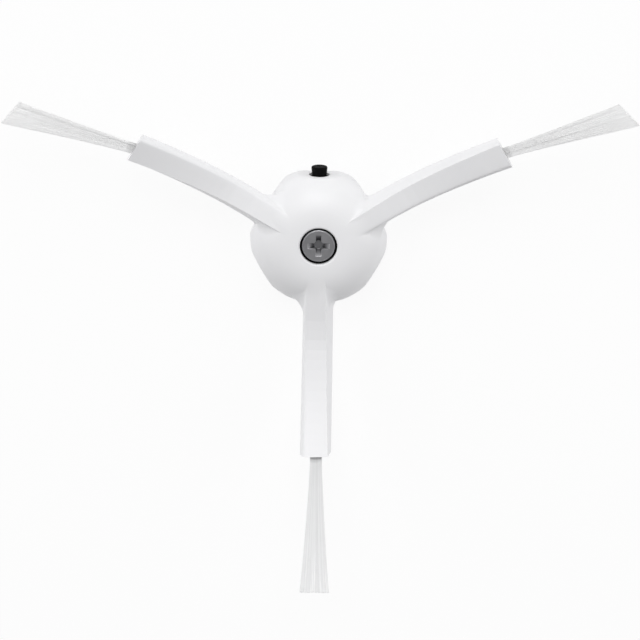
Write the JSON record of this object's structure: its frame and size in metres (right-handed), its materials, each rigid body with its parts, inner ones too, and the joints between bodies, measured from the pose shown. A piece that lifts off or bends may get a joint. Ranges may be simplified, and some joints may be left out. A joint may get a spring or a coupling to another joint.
{
  "type": "robot vacuum side brush",
  "caption": "Rotating side brush for a robot vacuum: a domed hub with curved radial arms ending in bristle fans, a hollow back with a hex drive socket and a central cross-head screw.",
  "frame": {"origin": "on the hub's axis, in the plane of the hub's back rim", "axes": "+Z along the hub's axis from the drive socket towards the screw head; +Y towards the flat that holds the rubber plug; one arm runs along -Y"},
  "size_m": [0.1376, 0.1143, 0.0318],
  "materials": {
    "white_plastic": "satin injection-moulded white plastic",
    "bristles": "translucent white nylon filament",
    "screw_steel": "turned grey plated steel",
    "black_rubber": "matt black rubber"
  },
  "bodies": {
    "root": {"hub_and_arms": "white_plastic", "bristle_tuft_right": "bristles", "bristle_tuft_left": "bristles", "bristle_tuft_front": "bristles", "fixing_screw": "screw_steel", "screw_cup": "black_rubber", "hub_plug": "black_rubber"}
  },
  "joints": []
}
